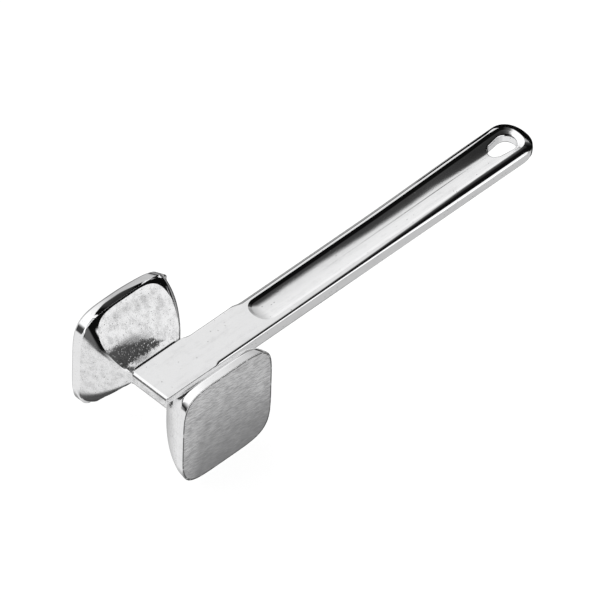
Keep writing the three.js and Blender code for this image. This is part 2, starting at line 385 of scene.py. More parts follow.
class HeadSizes(bpy.types.PropertyGroup):
    """Sizes of the two blocks and their striking plates."""
    face_half_width: length_setting("Face half width", "Half the ground face along the handle", 0.0269)
    face_half_height: length_setting("Face half height", "Half the ground face's height", 0.0272)
    middle: length_setting("Middle", "Place of the face's middle along the handle", 0.0143)
    smooth_face: length_setting("Smooth face", "Place of the smooth face", SMOOTH_HIGH.x)
    toothed_face: length_setting(
        "Toothed face", "Place of the face under the teeth", -TOOTHED_LOW.x - TOOTH_HEIGHT)
    plate_back: length_setting("Plate back", "Where the flanks reach the rim", 0.0305)
    smooth_start: length_setting("Smooth start", "How far the smooth rim's back stands out", 0.0001)
    toothed_start: length_setting("Toothed start", "How far the toothed rim's back stands out", -0.00015)
    smooth_peak: length_setting("Smooth peak", "How far the smooth face's rim stands out", 0.0002)
    toothed_peak: length_setting("Toothed peak", "How far the toothed face's rim stands out", 0.0004)
    smooth_round: length_setting("Smooth round", "Rounding of the rim at the smooth face", 0.00022)
    toothed_round: length_setting("Toothed round", "Rounding of the rim at the toothed face", 0.0014)
    front_corner_round: length_setting(
        "Front corner round", "Extra rounding at the toothed rim's front corners", 0.0026)
    back_corner_round: length_setting(
        "Back corner round", "Extra rounding at the toothed rim's back corners", 0.0032)
    back_corner_drop: length_setting(
        "Back corner drop", "How far those back corners are ground down", 0.0014)
    lip_length: length_setting("Lip length", "Length of the small chamfer at that rim's face", 0.0011)
    lip_drop: length_setting("Lip drop", "Height of the small chamfer at that rim's face", 0.0007)
    crease_place: length_setting("Crease place", "Where the top flanks' crease meets the rim", 0.0297)
    dish: length_setting("Dish", "How far the dish inside the crease reaches", 0.007)
    dish_kink: share_setting("Dish kink", "Slope of the dish at the crease", 0.42)
    crease_angle: angle_setting("Crease angle", "Where the crease runs down a corner, from the top", 53)
    back_crease_angle: angle_setting("Back crease angle", "The same at the back", 48)
    crease_turn_power: share_setting("Crease turn power", "How late the crease turns to the corner", 5.0)
    crease_depth_power: share_setting("Crease depth power", "How straight the crease runs to the root", 1.6)
    cheek_power: share_setting("Cheek power", "How flat the front and back flanks are", 8.0)
    face_power: share_setting("Face power", "Squareness of the face", 4.75)
    body_power: share_setting("Body power", "Squareness of the rim", 4.3)
    root_power: share_setting("Root power", "Squareness of the blocks' roots", 24.0)
    height_power: share_setting("Height power", "Crown of the top flanks", 1.4)
    height_bend: share_setting("Height bend", "Start of the top flanks", 0.94)
    length_power: share_setting("Length power", "Crown of the front flanks", 1.48)
    length_bend: share_setting("Length bend", "Start of the front flanks", 0.81)
    root_dip: length_setting(
        "Root dip", "How far the far block's top flank is drawn in just off the web", 0.0008)
    root_dip_place: share_setting("Root dip place", "Where that is, as a share of a block's depth", 0.10)


class TeethSizes(bpy.types.PropertyGroup):
    """Sizes of the tooth field."""
    rows: IntProperty(name="Rows", description="Teeth along each side", default=6, min=2, max=12)
    pitch: length_setting("Pitch", "From one tooth to the next", 0.0072)
    height: length_setting("Height", "Height of a tooth over the face", TOOTH_HEIGHT)
    tip: length_setting("Tip", "Width of a tooth's flat tip", 0.0009)
    sink: length_setting("Sink", "How deep a tooth's foot sits in the face", 0.0004)
    edge: length_setting("Edge", "Rounding of the teeth", 0.00018)


class FinishColours(bpy.types.PropertyGroup):
    """Colours of the metal."""
    bright: colour_setting("Bright metal", "Polished aluminium", (0.93, 0.93, 0.935))
    # Dull metal is the casting's cloudy patches, and also the painted shade of the grip's low band and of
    # the near block's ribbon
    dull_and_shade: colour_setting("Dull metal", "Cloudy patches of the casting", (0.60, 0.60, 0.605))
    # The speck colour marks the casting specks, and also the painted shade of the joint lines, the seam,
    # the far block's dark patch and the ground face's edge line
    speck_and_shade: colour_setting("Specks", "Casting specks", (0.10, 0.10, 0.10))
    ground: colour_setting("Ground metal", "The ground face", (0.95, 0.95, 0.955))
    # The worn metal colour is the painted shade of the ground face's low part, and also the dark of its
    # scratches
    worn: colour_setting("Worn metal", "The ground face's dull low part", (0.27, 0.27, 0.275))


class StudioLook(bpy.types.PropertyGroup):
    """Camera and light of the studio."""
    camera_place: FloatVectorProperty(
        name="Camera place", description="Where the camera stands",
        default=(2.982112, -3.00023, 4.390725), size=3, unit="LENGTH", subtype="TRANSLATION")
    camera_right: FloatVectorProperty(
        name="Camera right", description="Direction of the picture's right side",
        default=(0.7015191, 0.712207, 0.0251445), size=3, subtype="DIRECTION")
    camera_up: FloatVectorProperty(
        name="Camera up", description="Direction of the picture's top",
        default=(-0.5221401, 0.4896512, 0.6982917), size=3, subtype="DIRECTION")
    lens: FloatProperty(name="Lens", description="Focal length in millimetres", default=840.0)
    floor_size: length_setting("Floor size", "Half the floor's width", 6.0)
    flag_place: length_setting("Flag place", "Where the black flag stands behind the handle's end", 0.262)
    flag_height: length_setting("Flag height", "Height of the black flag's top", 0.018)
    flag_reach: length_setting("Flag reach", "How far the black flag reaches to the left", 0.160)


def eased(value, low, high):
    """Rises smoothly from 0 to 1, as a value goes from low to high."""
    share = np.clip((value - low) / (high - low), 0.0, 1.0)
    return share * share * (3.0 - 2.0 * share)


def mixed(first, second, share):
    """Goes from the first value to the second, as a share goes from 0 to 1."""
    return first + (second - first) * share


def changed(bar, y, stretch):
    """Rises from 0 to 1 over a stretch of the bar that is given in shares of its length."""
    return eased(y, stretch[0] * bar.length, stretch[1] * bar.length)


def near_half(bar, y):
    """From the middle to the bar's +X side, at places along it."""
    neck = eased(y, bar.web_length, bar.web_length + bar.neck_length)
    return mixed(bar.web_half_width, bar.near_half_width, neck)


def far_half(bar, y):
    """From the middle to the bar's -X side, at places along it."""
    neck = eased(y, bar.web_length, bar.web_length + 2 * bar.neck_length)
    widening = eased(y, bar.widening_place, bar.length - 2 * bar.end_round)
    bump = bar.bump * np.exp(-((y - bar.bump_place) / bar.bump_width) ** 2)
    grip = mixed(bar.far_half_width, bar.far_end_half_width, widening) + bump
    return mixed(bar.web_half_width, grip, neck)


def mesh_object(name, points, faces):
    mesh = bpy.data.meshes.new(name)
    mesh.from_pydata(np.asarray(points, float).tolist(), [], faces)
    mesh.validate()
    piece = bpy.data.objects.new(name, mesh)
    bpy.context.scene.collection.objects.link(piece)
    return piece


def loft(name, rings):
    """Closed body through rings of equal length, with a flat end on the first and on the last."""
    rings = np.asarray(rings, float)
    steps, count, _ = rings.shape
    faces = []
    for step in range(steps - 1):
        for index in range(count):
            following = (index + 1) % count
            low, high = step * count, (step + 1) * count
            faces.append((low + index, low + following, high + following, high + index))
    faces.append(tuple(reversed(range(count))))
    faces.append(tuple(range((steps - 1) * count, steps * count)))
    piece = mesh_object(name, rings.reshape(-1, 3), faces)
    turn_outwards(piece.data)
    return piece


def turn_outwards(mesh):
    shape = bmesh.new()
    shape.from_mesh(mesh)
    bmesh.ops.recalc_face_normals(shape, faces=shape.faces)
    shape.to_mesh(mesh)
    shape.free()


def shade(mesh, crease, sharp_points=range(0)):
    """Smooth shading, apart from edges that turn by more than the crease angle or join two sharp points."""
    shape = bmesh.new()
    shape.from_mesh(mesh)
    for face in shape.faces:
        face.smooth = True
    for edge in shape.edges:
        low, high = edge.verts[0].index, edge.verts[1].index
        chosen = low in sharp_points and high in sharp_points
        edge.smooth = not chosen and edge.calc_face_angle(0.0) < crease
    shape.to_mesh(mesh)
    shape.free()


def settle(piece):
    """Puts the result of a piece's modifiers in its mesh and takes the modifiers away."""
    graph = bpy.context.evaluated_depsgraph_get()
    result = bpy.data.meshes.new_from_object(piece.evaluated_get(graph), depsgraph=graph)
    piece.modifiers.clear()
    old = piece.data
    piece.data = result
    result.name = piece.name
    bpy.data.meshes.remove(old)


def cut(piece, cutter):
    modifier = piece.modifiers.new("cut", "BOOLEAN")
    modifier.operation = "DIFFERENCE"
    modifier.solver = "MANIFOLD"
    modifier.object = cutter
    bpy.context.view_layer.update()
    settle(piece)
    bpy.data.objects.remove(cutter)


def weigh_normals(piece):
    """Lets large flat faces stay flat where they meet rounded edges."""
    modifier = piece.modifiers.new("normals", "WEIGHTED_NORMAL")
    modifier.mode = "FACE_AREA"
    modifier.weight = 80
    modifier.keep_sharp = True
    settle(piece)


def write_share(mesh, name, values):
    """Stores one number for each point of a mesh."""
    attribute = mesh.attributes.new(name, "FLOAT", "POINT")
    attribute.data.foreach_set("value", np.asarray(values, float).ravel())


def finish_piece(piece, materials, slot, *nodes):
    piece.data.materials.clear()
    for material in materials:
        piece.data.materials.append(material)
    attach(piece, "root")
    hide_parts(*nodes)


def bar_outline(bar):
    """Plan outline of the bar from its front right corner, with inward directions."""
    neck_end = bar.web_length + 2 * bar.neck_length
    round_start = bar.length - bar.end_round
    neck = np.linspace(bar.web_length, neck_end, NECK_PLACES)
    grip = np.linspace(neck_end, round_start, GRIP_PLACES)[1:]
    along = np.concatenate([[0.0], neck, grip])
    right = np.stack([near_half(bar, along), along], axis=1)
    left = np.stack([-far_half(bar, along), along], axis=1)[::-1]
    angles = np.linspace(0.0, math.pi, END_PLACES)[1:-1]
    power = 2 / bar.end_power
    middle, half = (right[-1, 0] + left[0, 0]) / 2, (right[-1, 0] - left[0, 0]) / 2
    end = np.stack([
        middle + half * np.sign(np.cos(angles)) * np.abs(np.cos(angles)) ** power,
        round_start + bar.end_round * np.sin(angles) ** power,
    ], axis=1)
    points = np.concatenate([right, end, left])
    tangent = np.roll(points, -1, axis=0) - np.roll(points, 1, axis=0)
    inward = np.stack([-tangent[:, 1], tangent[:, 0]], axis=1)
    inward /= np.linalg.norm(inward, axis=1, keepdims=True)
    behind = points[:, 1] < round_start + TOLERANCE
    inward[behind] = np.stack([-np.sign(points[behind, 0]), np.zeros(behind.sum())], axis=1)
    inward[0] = (-1.0, 1.0)
    inward[-1] = (1.0, 1.0)
    return points, inward


def edge_shape(bar, points, upper):
    """Width, drop and power of the upper or lower rounded edge at each point of the outline."""
    y = points[:, 1][:, None]
    round_power = 2.0
    web = np.array([bar.web_edge, bar.web_edge, round_power])
    neck = np.array([bar.neck_facet, NECK_FACET_SLOPE * bar.neck_facet, bar.facet_power])
    facet = np.array([bar.facet_width, bar.facet_drop, bar.facet_power])
    near = np.array([bar.near_width, bar.near_drop, bar.near_power])
    end = np.array([bar.end_width, bar.end_drop, round_power])
    tip = np.array([bar.tip_width, bar.tip_drop, bar.tip_power])
    past_web = eased(y, bar.web_length, bar.web_length + bar.neck_length)
    facet_start = bar.shoulder_place - FACET_BEFORE_SHOULDER
    past_shoulder = eased(y, facet_start, bar.shoulder_place + FACET_AFTER_SHOULDER)
    far_side = mixed(web, neck, past_web)
    far_side = mixed(far_side, facet, past_shoulder)
    far_side = mixed(far_side, end, changed(bar, y, FAR_EDGE_CHANGE))
    near_side = mixed(web, near, past_web)
    if upper:
        near_side = mixed(near_side, end, changed(bar, y, NEAR_EDGE_CHANGE))
    side = 0.5 + 0.5 * np.clip(points[:, :1] / bar.far_half_width, -1.0, 1.0)
    shape = mixed(far_side, near_side, side)
    shape = mixed(shape, tip, changed(bar, y, TIP_CHANGE))
    return shape[:, 0], shape[:, 1], shape[:, 2]


def ring_at(bar, points, inward, margin, height):
    """The outline set in by a margin and by the sides' crown, at a height."""
    crown = bar.side_crown * np.minimum(np.abs(height) / (CROWNED_SHARE * bar.half_thickness), 1.0) ** 2
    placed = points + inward * (margin + crown)[:, None]
    return np.column_stack([placed, height])


def edge_rings(bar, points, inward, upper):
    """Rings up a rounded edge and a little way in over the flat top."""
    width, drop, power = edge_shape(bar, points, upper)
    top = bar.half_thickness
    side = 1 if upper else -1
    rings = []
    for angle in np.linspace(0.0, math.pi / 2, EDGE_PLACES):
        margin = width * (1 - math.cos(angle) ** (2 / power))
        height = top - drop * (1 - math.sin(angle) ** (2 / power))
        rings.append(ring_at(bar, points, inward, margin, side * height))
    rings.append(ring_at(bar, points, inward, width + TOP_MARGIN, np.full(len(points), side * top)))
    return rings


def bar_body(bar):
    points, inward = bar_outline(bar)
    rings = edge_rings(bar, points, inward, False)[::-1]
    rings.append(ring_at(bar, points, inward, np.zeros(len(points)), np.zeros(len(points))))
    rings += edge_rings(bar, points, inward, True)
    return loft("cast_bar", rings)


def front_bevel_cutter(bar, side):
    """Wedge that takes the bevel off the web's upper or lower front edge."""
    wide = bar.web_half_width + CUT_OVERRUN
    profile = [
        (-CUT_OVERRUN, bar.half_thickness - bar.front_bevel - CUT_OVERRUN),
        (bar.front_bevel + CUT_OVERRUN, bar.half_thickness + CUT_OVERRUN),
        (-CUT_OVERRUN, bar.half_thickness + CUT_OVERRUN),
    ]
    rings = [[(x, y, side * z) for y, z in profile] for x in (-wide, wide)]
    return loft("front_bevel_cutter", rings)


def channel_middle(bar, channel, y):
    """Middle line and half width of the channel, at places along it."""
    far_rim = mixed(channel.far_rim, channel.far_rim_end, changed(bar, y, FAR_RIM_CHANGE))
    left = far_rim - far_half(bar, y)
    right = near_half(bar, y) - channel.rim
    return (left + right) / 2, (right - left) / 2


def channel_plan(bar, channel, margin, share):
    """Outline of the channel, set in by a margin and drawn towards its middle line by a share."""
    scale = 1 - FLOOR_DRAWN_IN * share
    steps = np.linspace(0.0, math.pi, CHANNEL_ROUND_PLACES)
    power = 2 / bar.end_power
    across = np.sign(np.cos(steps)) * np.abs(np.cos(steps)) ** power
    along = np.sin(steps) ** power
    first = channel.start + channel.head_round
    last = bar.length - bar.end_round
    last_round = bar.end_round - channel.rim

    def placed(side, y):
        middle, half = channel_middle(bar, channel, y)
        return middle + side * (half - margin) * scale

    end = np.stack([placed(across, last), last + (last_round - margin) * scale * along], axis=1)
    head = np.stack([placed(-across, first), first - (channel.head_round - margin) * scale * along], axis=1)
    straight = np.linspace(first, last, CHANNEL_PLACES)[1:-1]
    left = np.stack([placed(-1, straight[::-1]), straight[::-1]], axis=1)
    right = np.stack([placed(1, straight), straight], axis=1)
    return np.concatenate([end, left, head, right])


def wall_profile(channel):
    """Margins and depths down the channel's wall and round its foot."""
    wall_slope = channel.wall_depth / channel.wall_draft
    floor_slope = math.tan(channel.floor_slope)
    profile = [(0.0, -CUT_OVERRUN), (0.0, 0.0)]
    for share in FOOT_SHARES:
        bend = wall_slope * share - (wall_slope - floor_slope) * share ** 2 / 2
        margin = channel.wall_draft + channel.foot * share
        profile.append((margin, channel.wall_depth + channel.foot * bend))
    return profile


def floor_sag(bar, channel, share, y):
    """How far the floor lies below its foot, at shares of the way to the middle line."""
    grip = changed(bar, y, GRIP_FLOOR_CHANGE)
    hole = changed(bar, y, HOLE_FLOOR_CHANGE)
    power = mixed(channel.head_power, channel.grip_power, grip)
    power = power + (channel.hole_power - channel.grip_power) * hole
    slope = np.tan(mixed(channel.floor_slope, channel.hole_slope, hole))
    width = bar.far_half_width - channel.far_rim - wall_profile(channel)[-1][0]
    return slope * width * (share - share ** (power + 1) / (power + 1))


def channel_cutter(bar, channel, side):
    """Body that takes the channel out of the bar's top or underside."""
    rings = []
    for margin, depth in wall_profile(channel):
        plan = channel_plan(bar, channel, margin, 0.0)
        rings.append(np.column_stack([plan, np.full(len(plan), side * (bar.half_thickness - depth))]))
    margin, foot_depth = wall_profile(channel)[-1]
    for share in np.linspace(0.0, 1.0, FLOOR_PLACES)[1:]:
        plan = channel_plan(bar, channel, margin, share)
        depth = foot_depth + floor_sag(bar, channel, share, plan[:, 1])
        rings.append(np.column_stack([plan, side * (bar.half_thickness - depth)]))
    return loft("channel_cutter", rings)


def floor_depth(bar, channel, plan):
    """Depth of the channel's floor under the flat top, at points of the plan."""
    margin, foot_depth = wall_profile(channel)[-1]
    last = bar.length - bar.end_round
    middle, half = channel_middle(bar, channel, np.minimum(plan[:, 1], last))
    along = np.maximum(plan[:, 1] - last, 0.0) / (bar.end_round - channel.rim - margin)
    across = np.abs(plan[:, 0] - middle) / (half - margin)
    reach = (across ** bar.end_power + along ** bar.end_power) ** (1 / bar.end_power)
    share = np.clip((1 - reach) / FLOOR_DRAWN_IN, 0.0, 1.0)
    return foot_depth + floor_sag(bar, channel, share, plan[:, 1])


def hole_cutter(bar, channel):
    """Body that takes the hang hole out, with a rounded edge where it leaves the channel's floor."""
    hole_end = bar.length - channel.hole_to_end
    end_place = hole_end - channel.hole_end_radius
    head_place = hole_end - channel.hole_length + channel.hole_head_radius
    lean = math.asin((channel.hole_end_radius - channel.hole_head_radius) / (end_place - head_place))
    end_angles = np.linspace(-lean, math.pi + lean, HOLE_END_PLACES)
    head_angles = np.linspace(math.pi + lean, 2 * math.pi - lean, HOLE_HEAD_PLACES)[1:-1]
    angles = np.concatenate([end_angles, head_angles])
    at_end = np.arange(len(angles)) < HOLE_END_PLACES
    radius = np.where(at_end, channel.hole_end_radius, channel.hole_head_radius)
    place = np.where(at_end, end_place, head_place)
    outward = np.stack([np.cos(angles), np.sin(angles)], axis=1)
    outline = outward * radius[:, None] + np.stack([np.zeros(len(angles)), place], axis=1)
    upper = []
    for angle in np.linspace(math.pi / 2, 0.0, HOLE_EDGE_PLACES):
        margin = channel.hole_edge * (1 - math.cos(angle))
        plan = outline + outward * margin
        surface = bar.half_thickness - floor_depth(bar, channel, plan)
        upper.append(np.column_stack([plan, surface - channel.hole_edge * (1 - math.sin(angle))]))
    lid = upper[0].copy()
    lid[:, 2] = bar.half_thickness + CUT_OVERRUN
    upper.insert(0, lid)
    lower = [ring * np.array([1.0, 1.0, -1.0]) for ring in reversed(upper)]
    return loft("hole_cutter", upper + lower)


def head_turns():
    """Angles of the points of each ring of the head, from the back over the top."""
    return (np.arange(HEAD_PLACES) + 0.5) / HEAD_PLACES * 2 * math.pi


def square_ring(half_width, half_height, power):
    """Rounded square as points of the plane of a face."""
    cosine, sine = np.cos(head_turns()), np.sin(head_turns())
    reach = (np.abs(cosine) ** power + np.abs(sine) ** power) ** (-1 / power)
    return np.stack([half_width * cosine * reach, half_height * sine * reach], axis=1)


def rim_ring(head, x, growth, power):
    """The face's outline made larger by a growth, at a place across the head."""
    plan = square_ring(head.face_half_width + growth, head.face_half_height + growth, power)
    return np.column_stack([np.broadcast_to(x, len(plan)), plan[:, 0] + head.middle, plan[:, 1]])


def crease_share():
    """How far a turn is from the top or bottom, as an angle."""
    return np.abs(np.mod(head_turns(), math.pi) - math.pi / 2)


def crease_limit(head):
    """Where the crease ends at each turn, further round at the front than at the back."""
    return np.where(np.cos(head_turns()) > 0, head.back_crease_angle, head.crease_angle)


def block_rings(bar, head, rim_start, dip):
    """Rings from the web's side to the crease and on to the rim, and the number of the crease's ring."""
    turned = crease_share() / crease_limit(head)
    crease = np.maximum(1 - turned ** head.crease_turn_power, 0.0) ** (1 / head.crease_depth_power)
    crease = mixed(bar.web_half_width, head.crease_place, np.maximum(crease, SHORTEST_CREASE))
    inner_shares = np.linspace(0.0, 1.0, ROOT_TO_CREASE_RINGS)
    outer_shares = np.linspace(0.0, 1.0, CREASE_TO_RIM_RINGS)[1:]
    inner = [mixed(bar.web_half_width, crease, share) for share in inner_shares]
    outer = [mixed(crease, head.plate_back, share) for share in outer_shares]
    places = np.array(inner + outer)
    root = square_ring(bar.web_length / 2, bar.half_thickness, head.root_power)
    rim = square_ring(head.face_half_width + rim_start, head.face_half_height + rim_start, head.body_power)
    back = 1 - CURVE_SHARE * (places - bar.web_half_width) / (head.plate_back - bar.web_half_width)
    up = (1 - back ** head.height_power) ** head.height_bend
    along = (1 - back ** head.length_power) ** head.length_bend
    start = root[:, 0] + bar.web_length / 2
    y = mixed(start, rim[:, 0] + head.middle, along)
    z = mixed(root[:, 1], rim[:, 1], up)
    reach = (1 - back) / head.root_dip_place
    central = eased(crease_share(), *DIP_FADE)
    z = z - np.sign(root[:, 1]) * dip * reach * np.exp(1 - reach) * central
    grid = cheeks_flattened(head, np.stack([places, y, z], axis=2))
    return dished(bar, head, grid, len(inner) - 1), len(inner) - 1


def cheeks_flattened(head, grid):
    """Flattens the front and back flanks beyond the crease, which fades out towards the rim."""
    turned = crease_share()
    fade = 1 - eased(grid[:, :, 0], CHEEK_FADE_START, head.plate_back)
    for side in (1, -1):
        chosen = np.where((turned >= crease_limit(head)) & (side * np.cos(head_turns()) > 0))[0]
        corner = chosen[np.argmin(turned[chosen])]
        outermost = grid[:, chosen[np.argmax(turned[chosen])], 1][:, None]
        corner_y, corner_z = grid[:, corner, 1][:, None], np.abs(grid[:, corner, 2])[:, None]
        height = np.abs(grid[:, chosen, 2]) / corner_z
        flat = outermost - (outermost - corner_y) * height ** head.cheek_power
        grid[:, chosen, 1] += (flat - grid[:, chosen, 1]) * fade[:, chosen]
    return grid


def dished(bar, head, grid, crease_ring):
    """Sinks the top and bottom flanks inside the crease, so that they meet the polished band at an edge."""
    along = np.gradient(grid, axis=0)
    around = np.roll(grid, -1, axis=1) - np.roll(grid, 1, axis=1)
    normal = np.cross(around, along)
    normal /= np.linalg.norm(normal, axis=2, keepdims=True)
    outward = grid - np.array([0.0, head.middle, 0.0])
    outward[:, :, 0] = 0.0
    normal *= np.sign(np.sum(normal * outward, axis=2, keepdims=True))
    depth_share = (grid[:, :, 0] - bar.web_half_width) / (head.crease_place - bar.web_half_width)
    depth_share = np.clip(depth_share, 0.0, 1.0)
    turned = crease_share() / crease_limit(head)
    radius = np.hypot(outward[:, :, 1], outward[:, :, 2])
    turn_slope = head.crease_turn_power * turned ** (head.crease_turn_power - 1)
    turn_slope = turn_slope / crease_limit(head) / radius
    depth_slope = head.crease_depth_power * depth_share ** (head.crease_depth_power - 1)
    depth_slope = STEP_ACROSS * depth_slope / (head.crease_place - bar.web_half_width)
    inside = 1 - turned ** head.crease_turn_power - depth_share ** head.crease_depth_power
    away = np.maximum(inside, 0.0) / np.maximum(np.hypot(turn_slope, depth_slope), 1.0)
    sink = head.dish_kink * head.dish / 3 * (1 - (1 - np.minimum(away / head.dish, 1.0)) ** 3)
    sink *= eased(depth_share, 0.0, DISH_FADE)
    sink[crease_ring:] = 0.0
    return grid - normal * sink[:, :, None]


def corner_shares():
    """Nearness of each turn to a front corner and to a back corner of the top or bottom."""
    lean = np.degrees(np.arctan2(np.cos(head_turns()), np.abs(np.sin(head_turns()))))
    front = eased(-lean, *FRONT_CORNER_RISE) * (1 - eased(-lean, *FRONT_CORNER_FALL))
    back = eased(lean, *BACK_CORNER_RISE) * (1 - eased(lean, *BACK_CORNER_FALL))
    return front, back


def rim_rings(head, face, growths, rounding, drop, lip):
    """Rings from the back of a striking plate over its flared rim to the face's edge."""
    start, peak, flare = growths
    lip_length, lip_drop = lip
    last = face - lip_length
    top = last - rounding

    def sunk(x):
        return drop * (x - head.plate_back) / (face - head.plate_back)

    rings = []
    for share in np.linspace(0.0, 1.0, RIM_RINGS):
        growth = peak - (peak - start) * (1 - share) ** flare
        x = mixed(head.plate_back, top, share)
        rings.append(rim_ring(head, x, growth - sunk(x), mixed(head.body_power, head.face_power, share)))
    end_growth = min(peak, lip_drop)
    for angle in np.linspace(0.0, math.pi / 2, RIM_ROUND_RINGS)[1:]:
        x = top + rounding * math.sin(angle)
        growth = end_growth + (peak - end_growth) * math.cos(angle)
        rings.append(rim_ring(head, x, growth - sunk(x), head.face_power))
    if lip_length > 0.0:
        for share in np.linspace(0.0, 1.0, LIP_RINGS)[1:]:
            growth = end_growth - lip_drop * share - drop
            rings.append(rim_ring(head, last + lip_length * share, growth, head.face_power))
    return np.array(rings)


class Field:
    """A number socket that takes part in plain arithmetic."""

    def __init__(self, kit, socket):
        self.kit = kit
        self.socket = socket

    def __add__(self, other):
        return self.kit.math("ADD", self, other)

    def __sub__(self, other):
        return self.kit.math("SUBTRACT", self, other)

    def __rsub__(self, other):
        return self.kit.math("SUBTRACT", other, self)

    def __mul__(self, other):
        return self.kit.math("MULTIPLY", self, other)

    def __truediv__(self, other):
        return self.kit.math("DIVIDE", self, other)

    def __rtruediv__(self, other):
        return self.kit.math("DIVIDE", other, self)

    def __pow__(self, other):
        return self.kit.math("POWER", self, other)

    def __abs__(self):
        return self.kit.math("ABSOLUTE", self)

    __radd__ = __add__
    __rmul__ = __mul__


class NodeKit:
    """Makes the nodes of one tree."""

    def __init__(self, tree):
        self.tree = tree
        tree.nodes.clear()

    def node(self, kind, settings=None, inputs=None):
        made = self.tree.nodes.new(kind)
        for name, value in (settings or {}).items():
            setattr(made, name, value)
        for name, value in (inputs or {}).items():
            socket = made.inputs[name]
            if isinstance(value, Field):
                value = value.socket
            if isinstance(value, bpy.types.NodeSocket):
                self.tree.links.new(value, socket)
            else:
                socket.default_value = value
        return made

    def math(self, operation, *values):
        made = self.node("ShaderNodeMath", {"operation": operation}, dict(enumerate(values)))
        return Field(self, made.outputs[0])

    def most(self, first, second):
        return self.math("MAXIMUM", first, second)

    def least(self, first, second):
        return self.math("MINIMUM", first, second)

    def below(self, value, limit):
        """1 where a value is below a limit, and 0 elsewhere."""
        return self.math("LESS_THAN", value, limit)

    def ramp(self, value, low, high, start=0.0, end=1.0, shape="SMOOTHSTEP"):
        """Goes from start to end, as a value goes from low to high."""
        made = self.node(
            "ShaderNodeMapRange", {"interpolation_type": shape},
            {"Value": value, "From Min": low, "From Max": high, "To Min": start, "To Max": end})
        return Field(self, made.outputs[0])

    def fall(self, value, low, high):
        """Falls from 1 to 0, as a value goes from low to high."""
        return 1 - self.ramp(value, low, high)

    def slope(self, value, stretch, strengths):
        """Goes straight from the first strength to the second over a stretch of a value."""
        return self.ramp(value, *stretch, *strengths, "LINEAR")

    def band(self, value, low, high, soft):
        """1 between low and high, with soft edges inside them, and 0 elsewhere."""
        return self.ramp(value, low, low + soft) * self.fall(value, high - soft, high)

    def blend(self, factor, first, second):
        made = self.node("ShaderNodeMix", {"data_type": "RGBA"}, {0: factor, 6: first, 7: second})
        return made.outputs[2]

    def scaled(self, vector, scale):
        made = self.node("ShaderNodeVectorMath", {"operation": "MULTIPLY"}, {0: vector, 1: scale})
        return made.outputs[0]

    def towards(self, vector, direction):
        """How far a direction points along another one."""
        made = self.node("ShaderNodeVectorMath", {"operation": "DOT_PRODUCT"}, {0: vector, 1: direction})
        return Field(self, made.outputs["Value"])

    def noise(self, vector, scale, detail, roughness=0.5):
        made = self.node(
            "ShaderNodeTexNoise", None,
            {"Vector": vector, "Scale": scale, "Detail": detail, "Roughness": roughness})
        return Field(self, made.outputs[0])

    def split(self, vector):
        made = self.node("ShaderNodeSeparateXYZ", None, {0: vector})
        return [Field(self, socket) for socket in made.outputs]

    def place(self):
        """Object coordinates in millimetres."""
        return self.scaled(self.node("ShaderNodeTexCoord").outputs["Object"], [MILLIMETRES] * 3)

    def stored(self, name):
        made = self.node("ShaderNodeAttribute", {"attribute_name": name})
        return Field(self, made.outputs["Fac"])

    def output(self, kind, name, value):
        self.node(kind, None, {name: value})

    def metal(self, colour, rough, height):
        """Bare metal with a height in millimetres as its surface detail."""
        bump = self.node(
            "ShaderNodeBump", None, {"Strength": 1.0, "Distance": MILLIMETRE, "Height": height})
        shader = self.node(
            "ShaderNodeBsdfPrincipled", None,
            {"Base Color": colour, "Metallic": 1.0, "Roughness": rough, "Normal": bump.outputs[0]})
        self.output("ShaderNodeOutputMaterial", "Surface", shader.outputs[0])


def opaque(colour):
    return (*colour, 1.0)


def mm(length):
    """A length in millimetres, as the materials measure it."""
    return length * MILLIMETRES


def new_material(name):
    material = bpy.data.materials.get(name) or bpy.data.materials.new(name)
    material.use_nodes = True
    return material, NodeKit(material.node_tree)


def specks(kit, place, scale, size, share):
    """Small round casting specks in a random share of cells."""
    cells = kit.node("ShaderNodeTexVoronoi", None, {"Vector": place, "Scale": scale})
    chosen = kit.split(cells.outputs["Color"])[0]
    inside = kit.fall(Field(kit, cells.outputs["Distance"]), size * 0.5, size)
    return inside * kit.below(chosen, share)


def joint_shade_and_dirt(kit, bar, place, grain):
    """Thin broken dark lines along the web's joints with the blocks and round its front face: painted shade
    with dirt.
    """
    across, along, up = kit.split(place)
    side, web_end = mm(bar.web_half_width), mm(bar.web_length)
    joint = kit.ramp(abs(across), side - JOINT_REACH, side - JOINT_CORE)
    joint = joint * kit.fall(along, web_end - JOINT_FADE, web_end)
    joint = joint * (kit.below(across, 0.0) * FAR_JOINT_EXTRA_SHADE_AND_DIRT + NEAR_JOINT_SHADE_AND_DIRT)
    joint = joint * kit.ramp(grain, *JOINT_BREAKS)
    flat = mm(bar.half_thickness) - mm(bar.front_bevel)
    start, full, fade, end = (flat + offset for offset in FRONT_LINE)
    line = kit.ramp(up, start, full) * kit.fall(up, fade, end)
    fade, end = (offset - flat for offset in UNDER_LINE)
    under = kit.fall(up, fade, end)
    front = kit.most(line, under * UNDER_SHADE_AND_DIRT) * kit.fall(along, *FRONT_LINE_BACK)
    return kit.most(joint, front * kit.ramp(grain, *FRONT_BREAKS) * FRONT_SHADE_AND_DIRT)


